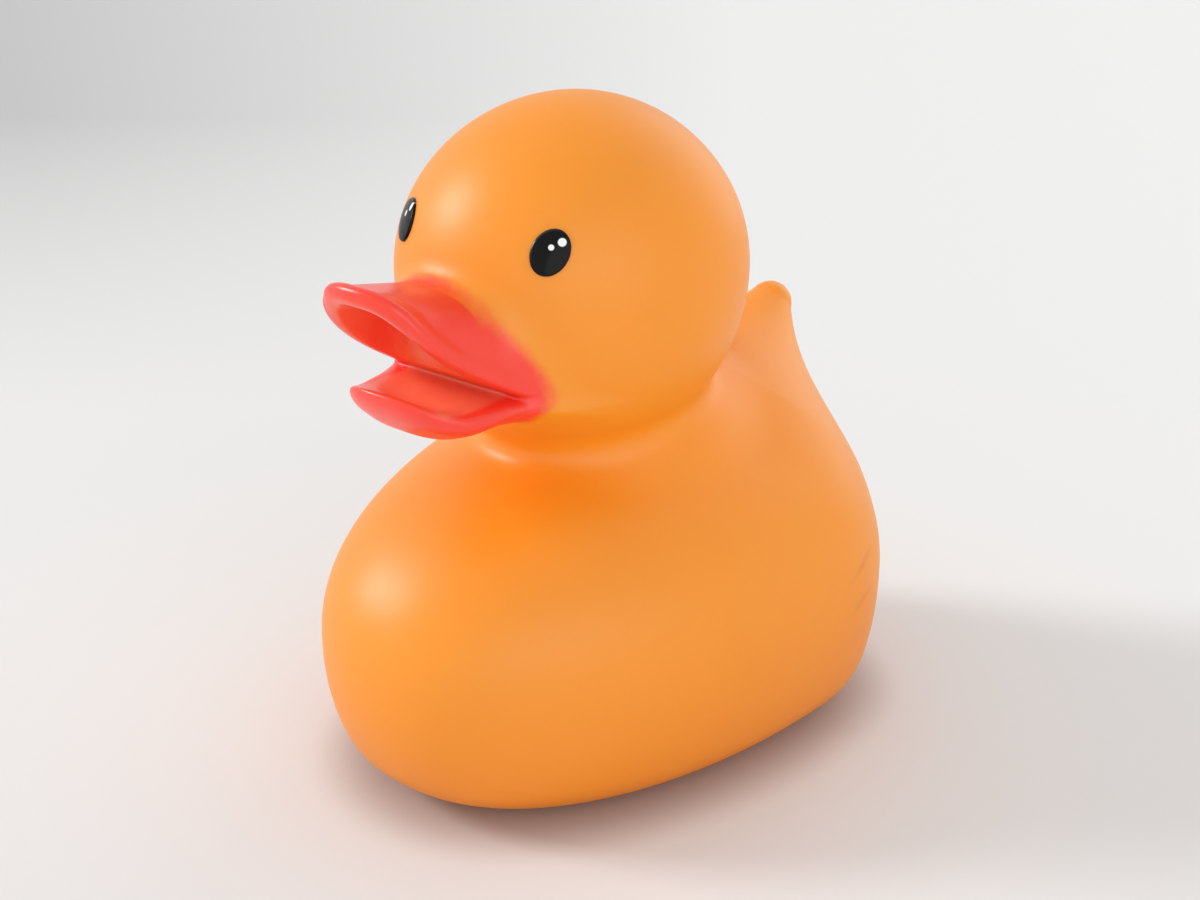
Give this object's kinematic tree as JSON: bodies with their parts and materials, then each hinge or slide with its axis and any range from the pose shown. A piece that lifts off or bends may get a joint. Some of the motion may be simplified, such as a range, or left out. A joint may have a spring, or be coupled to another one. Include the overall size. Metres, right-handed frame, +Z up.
{
  "type": "rubber duck",
  "caption": "Soft vinyl bath duck with a round head, wide-open coral bill, raised glossy black eyes, upturned pointed tail and a flat base to stand on.",
  "frame": {"origin": "on the plane of the flat base, below the middle of the duck's length and width", "axes": "+Z up, -Y forwards along the bill, +X towards the duck's own left side"},
  "size_m": [0.0652, 0.0864, 0.0883],
  "materials": {
    "orange_vinyl": "satin, soft vinyl",
    "eye_black": "glossy"
  },
  "bodies": {
    "root": {"duck_body": "orange_vinyl", "left_eye": "eye_black", "right_eye": "eye_black"}
  },
  "joints": []
}
